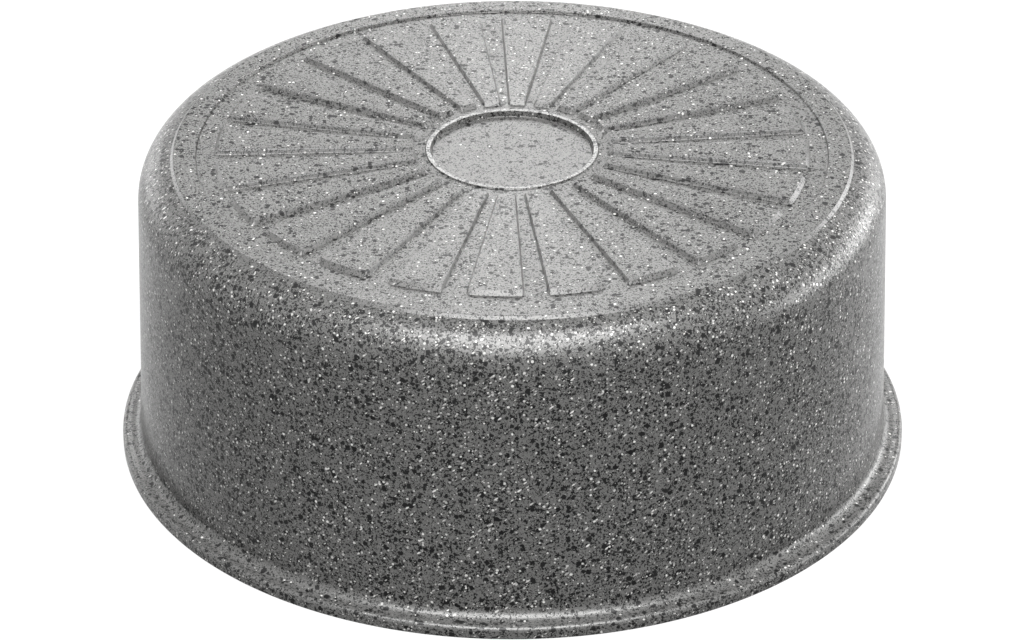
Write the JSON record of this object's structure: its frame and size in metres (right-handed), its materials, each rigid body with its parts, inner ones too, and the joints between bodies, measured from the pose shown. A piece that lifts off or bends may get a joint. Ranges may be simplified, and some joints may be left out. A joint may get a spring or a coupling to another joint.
{
  "type": "camping pot",
  "caption": "Round cast pot without handles, upside down on its flanged rim: drafted wall, rounded corner, base with foot ring, raised wedge panels and a plain sunk centre.",
  "frame": {"origin": "centre of the rim face, which the pot rests on upside down", "axes": "+Z is the pot's axis and runs from the rim up to the base; +X and +Y lie in the rim face, and -Y faces the viewer of the picture"},
  "size_m": [0.26, 0.26, 0.1037],
  "materials": {
    "granite_coating": "satin grey stone-effect coating with black and white specks over cast aluminium"
  },
  "bodies": {
    "root": {"pot": "granite_coating"}
  },
  "joints": []
}
